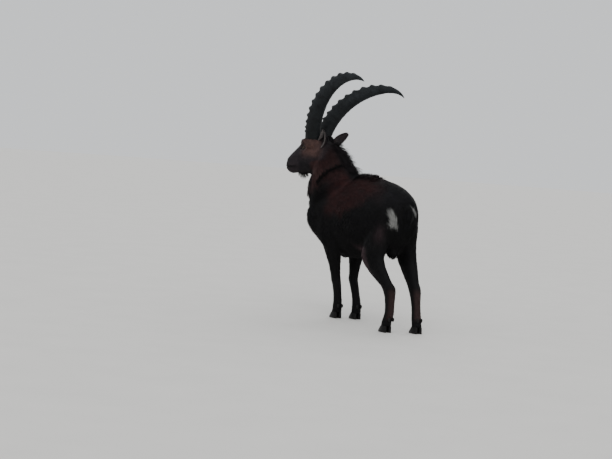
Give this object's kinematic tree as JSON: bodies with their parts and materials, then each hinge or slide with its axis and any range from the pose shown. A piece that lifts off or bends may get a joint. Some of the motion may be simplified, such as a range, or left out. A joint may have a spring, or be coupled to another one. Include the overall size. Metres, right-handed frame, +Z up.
{
  "type": "alpine ibex",
  "caption": "Life-size standing alpine ibex buck with long knobbed horns curving back and its head turned to its left, a still model.",
  "frame": {"origin": "middle of the bounding box, on the floor under the hooves", "axes": "+Z up, the trunk faces -Y, the animal's left side is +X"},
  "size_m": [0.5962, 1.1636, 1.5818],
  "materials": {
    "coat": "short dense fur, dark brown, rougher along the nape and withers",
    "dark_coat": "short blackish fur",
    "ear": "thin short fur, paler rim",
    "horn": "dull ridged horn",
    "hoof": "worn black horn",
    "eye": "wet, amber brown with a level pupil"
  },
  "bodies": {
    "root": {"torso": "coat", "neck": "coat", "head": "coat", "tail": "dark_coat", "ear_left": "ear", "ear_right": "ear", "eye_left": "eye", "eye_right": "eye", "horn_left": "horn", "horn_right": "horn", "forearm_left": "coat", "fore_cannon_left": "dark_coat", "fore_claw_left_outer": "hoof", "fore_dewclaw_left_outer": "hoof", "fore_claw_left_inner": "hoof", "fore_dewclaw_left_inner": "hoof", "forearm_right": "coat", "fore_cannon_right": "dark_coat", "fore_claw_right_outer": "hoof", "fore_dewclaw_right_outer": "hoof", "fore_claw_right_inner": "hoof", "fore_dewclaw_right_inner": "hoof", "thigh_left": "coat", "shank_left": "coat", "hind_cannon_left": "dark_coat", "hind_claw_left_outer": "hoof", "hind_dewclaw_left_outer": "hoof", "hind_claw_left_inner": "hoof", "hind_dewclaw_left_inner": "hoof", "thigh_right": "coat", "shank_right": "coat", "hind_cannon_right": "dark_coat", "hind_claw_right_outer": "hoof", "hind_dewclaw_right_outer": "hoof", "hind_claw_right_inner": "hoof", "hind_dewclaw_right_inner": "hoof"}
  },
  "joints": []
}
